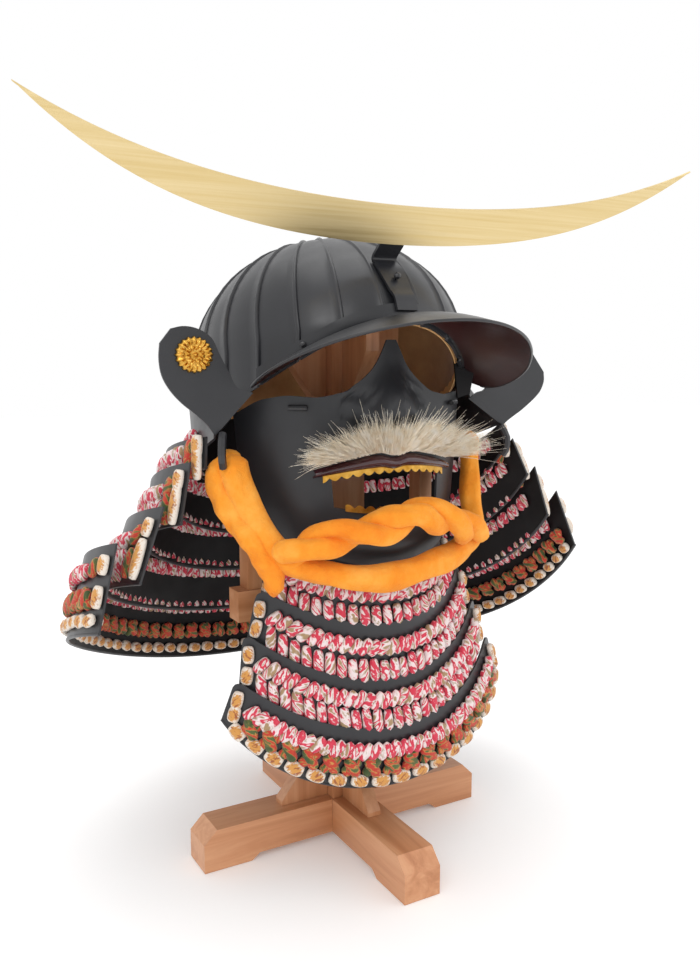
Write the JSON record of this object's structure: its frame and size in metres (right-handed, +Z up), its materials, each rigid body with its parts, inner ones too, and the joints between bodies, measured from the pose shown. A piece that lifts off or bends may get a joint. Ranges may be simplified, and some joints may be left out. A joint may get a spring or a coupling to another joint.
{
  "type": "kabuto helmet with face mask on a wooden stand",
  "caption": "Samurai helmet with ribbed bowl, visor, crescent crest, laced flaring neck guard, face mask with moustache and laced throat guard, tied with a cord on a plain wooden stand.",
  "frame": {"origin": "on the floor, under the middle of the whole object's bounding box", "axes": "+Z up, the mask looks along -Y, +X is the wearer's left"},
  "size_m": [0.6, 0.4042, 0.6288],
  "materials": {
    "lacquered_plate": "satin dark grey lacquer",
    "lining_suede": "brown suede",
    "lacing": "mottled pink, white, red and green silk lacing",
    "lip_lacquer": "glossy dark red lacquer",
    "gold": "gilt",
    "crest_brass": "brushed pale brass",
    "dark_steel": "dark grey metal",
    "horsehair": "cream horsehair",
    "cord_plush": "orange plush cord",
    "stand_wood": "orange-brown varnished wood"
  },
  "bodies": {
    "root": {"bowl": "lacquered_plate", "bowl_lining": "lining_suede", "visor": "lacquered_plate", "neck_lame_1": "lacquered_plate", "neck_lame_2": "lacquered_plate", "neck_lame_3": "lacquered_plate", "neck_lame_4": "lacquered_plate", "neck_lame_top": "lacquered_plate", "neck_lacing_0": "lacing", "neck_lacing_1": "lacing", "neck_lacing_2": "lacing", "neck_lacing_3": "lacing", "neck_lacing_4": "lacing", "neck_lacing_cross": "lacing", "neck_lacing_edge": "lacing", "throat_plate_1": "lacquered_plate", "throat_plate_2": "lacquered_plate", "throat_plate_3": "lacquered_plate", "throat_plate_4": "lacquered_plate", "throat_lacing_1": "lacing", "throat_lacing_2": "lacing", "throat_lacing_3": "lacing", "throat_lacing_4": "lacing", "throat_lacing_cross": "lacing", "throat_lacing_edge": "lacing", "face_mask": "lacquered_plate", "upper_lip": "lip_lacquer", "upper_teeth": "gold", "lower_teeth": "gold", "moustache": "horsehair", "mask_toggle_right": "dark_steel", "mask_toggle_left": "dark_steel", "crest_bracket": "dark_steel", "crest_rivet": "dark_steel", "crescent": "crest_brass", "flap_medallion_right": "gold", "flap_medallion_left": "gold", "visor_rivet_right": "dark_steel", "visor_rivet_left": "dark_steel", "cord_hook_left": "dark_steel", "cord_hook_right": "dark_steel", "chin_cord": "cord_plush", "foot_bar_side": "stand_wood", "foot_bar_front": "stand_wood", "post": "stand_wood", "foot_fin_left": "stand_wood", "head_fin_left": "stand_wood", "foot_fin_right": "stand_wood", "head_fin_right": "stand_wood", "foot_fin_back": "stand_wood", "head_fin_back": "stand_wood", "foot_fin_front": "stand_wood", "head_fin_front": "stand_wood", "arm_left": "stand_wood", "arm_right": "stand_wood", "cheek_rest_left": "stand_wood", "cheek_rest_right": "stand_wood"}
  },
  "joints": []
}
